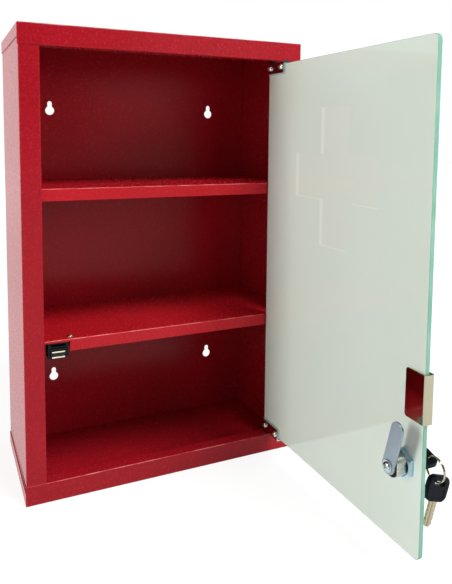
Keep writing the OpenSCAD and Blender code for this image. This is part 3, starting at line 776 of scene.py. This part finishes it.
bm = block(*HANDLE_BOX)
cut(bm, block(FOLD_X, 48, HANDLE_BOX[2] + HANDLE_STRIP, HANDLE_BOX[3] - HANDLE_STRIP, 130, 185))
lean_in(bm)
bevel(bm, 1.4, 5, runs("z", lambda m: m.x < 23.1))
bevel(bm, 0.4, 3, runs("z", lambda m: 23.9 < m.x < 24.1 and 0 < m.y < 9))
bevel(bm, 2.5, 6, runs("y", lambda m: m.x > 44.9))
bevel(bm, 0.16, 2, sharper_than=50)
piece("handle_strip", bm, DOOR, "door", nickel, "handle_clip")
bm = block(*measured("handle_pad", DOOR))
cut(bm, block(25, 50, GLASS_OUTSIDE, GLASS_INSIDE + 0.05, 130, 185))
lean_in(bm)
piece("handle_liner", bm, DOOR, "door", grey_pad, "handle_pad")

# %% [markdown]
# ## The cam lock
#
# The lock goes through the glass: a bezel and a washer outside, then a threaded barrel with two
# flats, and a big thin nut inside. The thread is turned as a row of fine ridges one millimetre
# apart. The nut starts as a six sided bar, and a cone trims its corners, as on any real nut.

# %% Lock housing
CREST, ROOT, RIDGES, FIRST_RIDGE = 9.5, 9.02, 17, 20.2
thread = []
for i in range(RIDGES):
    y = FIRST_RIDGE - i
    thread += [(CREST, y), (CREST, y - 0.15), (ROOT, y - 0.45), (ROOT, y - 0.6)]
bm = turned([(7.55, 0), (7.55, 2), (6.05, 2), (6.05, 20.9), (8.9, 20.9), (9.2, 20.6)] + thread
            + [(9.5, 2.5), (11.3, 2.5), (11.5, 2.3), (11.5, 0.8), (11.3, 0.35), (10.9, 0.08),
               (10.4, 0), (7.55, 0)], 72)
for x0, x1 in ((-12, -8), (8, 12)):
    cut(bm, block(x0, x1, 2.5, 22, -12, 12))
# The end of the barrel under the lever gets the black rubber finish: painted shade for the dark gap
# there.
for face in bm.faces:
    face.material_index = 1 if face.calc_center_median().y > 20.72 else 0
piece("threaded_barrel", bm, DOOR @ move(*LOCK), "door", (barrel_zinc, black_rubber),
      "lock_housing", smooth=25)

# %% Nut
NUT_FACE = measured("lock_nut", DOOR)[3]
ACROSS_FLATS = 22.3
bm = bar_y(GLASS_INSIDE, NUT_FACE, ACROSS_FLATS / math.sqrt(3), 6)
combine(bm, bar_y(GLASS_INSIDE, NUT_FACE, 13.38, 96, 12.04), "INTERSECT")
cut(bm, bar_y(6, 13, 9.52, 72), bar_y(10.8, 11.5, 9.5, 72, 10.25))
bevel(bm, 0.12, 2, sharper_than=40)
piece("hex_nut", bm, DOOR @ move(*LOCK), "door", blue_zinc, "lock_nut", smooth=20)
dress(["lock_gasket"], black_rubber)

# %% Plug, lever and its screw
LEVER_BACK, LEVER_FRONT = measured("lock_lever", DOOR)[2:4]
WASHER_FRONT = measured("lever_washer", DOOR)[3]
LEVER_HALF, LEVER_REACH = 6.5, 34.5
softened("lock_plug", 0.18, nickel, "plug")
bm = block(-LEVER_HALF, LEVER_HALF, LEVER_BACK, LEVER_FRONT, 0, LEVER_REACH)
combine(bm, bar_y(LEVER_BACK, LEVER_FRONT, 7.0, 64), "UNION")
tip = bar_y(LEVER_BACK, LEVER_FRONT, LEVER_HALF, 64)
bmesh.ops.translate(tip, vec=(0, 0, LEVER_REACH), verts=tip.verts)
combine(bm, tip, "UNION")
cut(bm, block(-3.5, 3.5, 20, 25, -3.5, 3.5))
bevel(bm, 0.3, 3, sharper_than=50)
piece("lever_plate", bm, PLUG, "plug", zinc, "lock_lever")
bm = turned([(1.9, LEVER_FRONT), (4.85, LEVER_FRONT), (5, LEVER_FRONT + 0.15),
             (5, WASHER_FRONT - 0.15), (4.85, WASHER_FRONT), (1.9, WASHER_FRONT),
             (1.9, LEVER_FRONT)], 64)
piece("washer_plate", bm, PLUG, "plug", lever_steel, "lever_washer")
screw("lever_screw_fine", 3.5, 1.9, 1.75, 3.2, PLUG @ move(0, WASHER_FRONT, 0), "plug",
      "lever_screw", lever_steel)

# %% [markdown]
# ## The keys
#
# A key is drawn flat: x across, y from the end of the plastic head to the tip of the blade. The
# head gets its big round corners and soft rim first. The slot for the ring and the sunk panels
# are cut after that, so their own edges can stay crisp. One key sits in the lock, the other
# hangs on the ring and leans towards the glass.

# %% Key shapes
BLADE_HALF, BLADE_START, BLADE_TIP = 3.8, 13, 42
KEY_END = measured("key_head", DOOR)[2]
RING = middle("key_ring", DOOR)
RING_RADIUS = 10


def key_head(name, board, body, stands_for):
    bm = block(-11, 11, 0, 21, -2.5, 2.5)
    bevel(bm, 6.0, 10, runs("z"))
    bevel(bm, 0.9, 4, sharper_than=50)
    slot = block(-6, 6, 4, 8, -5, 5)
    bevel(slot, 1.5, 6, runs("z"))
    cut(bm, slot)
    for z0, z1 in ((2.1, 4), (-4, -2.1)):
        panel = block(-7, 7, 10.5, 18, z0, z1)
        bevel(panel, 1.2, 5, runs("z"))
        cut(bm, panel)
    cut(bm, block(-BLADE_HALF, BLADE_HALF, BLADE_START, 22, -1, 1))
    bevel(bm, 0.22, 2, sharper_than=55)
    return piece(name, bm, board, body, key_plastic, stands_for)


def key_blade(name, board, body, stands_for):
    bm = block(-BLADE_HALF, BLADE_HALF, BLADE_START, BLADE_TIP, -1, 1)
    bevel(bm, 2.4, 1, runs("z", lambda m: m.y > 41))
    for i in range(4):
        for edge_x, size, first in ((BLADE_HALF, 1.9 + 0.5 * (i % 2), 26.6),
                                    (-BLADE_HALF, 1.6 + 0.4 * (i % 2), 25.0)):
            notch = block(-size / 2, size / 2, -size / 2, size / 2, -2, 2)
            bmesh.ops.rotate(notch, matrix=turn(45, "Z"), verts=notch.verts)
            middle = (edge_x + math.copysign(1, edge_x) * 0.9, first + 3.4 * i, 0)
            bmesh.ops.translate(notch, vec=middle, verts=notch.verts)
            cut(bm, notch)
    cut(bm, block(-1.4, -0.2, 22, 44, 0.5, 2), block(-1.4, -0.2, 22, 44, -2, -0.5))
    bevel(bm, 0.1, 1, sharper_than=40)
    return piece(name, bm, board, body, brass, stands_for)


IN_LOCK = PLUG @ move(0, KEY_END, 0)
ON_RING = (DOOR @ move(RING.x, RING.y, RING.z - RING_RADIUS)
           @ turn(-72, "X") @ turn(90, "Y") @ move(3.9, -5.2, 0))
key_head("head_in_lock", IN_LOCK, "key", "key_head")
key_blade("blade_in_lock", IN_LOCK, "key", "key_blade")
key_head("head_on_ring", ON_RING, "spare_key", "spare_head")
key_blade("blade_on_ring", ON_RING, "spare_key", "spare_blade")

# %% [markdown]
# ## The key ring
#
# A key ring is one wire wound round twice, so its edge looks like two wires side by side. A
# helix would show that too, but it needs a long curve. Here the outline of both wires, one
# beside the other, is spun once round the axis, and a thin block cuts the joint.

# %% Key ring
WIRE_RADIUS, WIRE_OFFSET = 0.55, 0.43
wire = [(RING_RADIUS + WIRE_RADIUS * math.cos(a), WIRE_OFFSET + WIRE_RADIUS * math.sin(a))
        for a in (math.radians(d) for d in range(-50, 231, 20))]
wire += [(r, -y) for r, y in reversed(wire)]
bm = turned(wire + wire[:1], 96)
joint = block(8, 12, -2, 2, -0.15, 0.15)
bmesh.ops.rotate(joint, matrix=turn(-200, "Y"), verts=joint.verts)
cut(bm, joint)
piece("wire_ring", bm, DOOR @ move(*RING), "ring", nickel, "key_ring")

# %% [markdown]
# ## The magnetic catch
#
# Under the lower shelf sits a nylon housing. In it rocks a small carrier with a magnet between
# two steel plates. These are simple blocks, so the CAD pieces are taken over with their edges
# softened. The recess over the carrier looks like a slot from the front, so its lower part is
# filled with a block.

# %% Catch and bushes
RECESS_FILL = (27, 42.3, 11.0, 20.0, 150.0, 151.4)
softened("catch_housing", 0.3, black_plastic, "cabinet", filled=block(*RECESS_FILL))
for node, width, mat in (("catch_carrier", 0.25, black_plastic),
                         ("catch_pole_upper", 0.12, pole_steel),
                         ("catch_pole_lower", 0.12, pole_steel)):
    softened(node, width, mat, "cabinet")
screw_place = middle("catch_screw", CABINET)
screw_place.z = measured("lower_shelf", CABINET)[5]
screw("catch_screw_fine", 3.3, 2.2, 1.45, 8.0, CABINET @ move(*screw_place) @ turn(90, "X"),
      "cabinet", "catch_screw", screw_steel)
dress(["catch_magnet"], ferrite)
dress(["hinge_bush_top", "hinge_bush_bottom"], black_plastic)
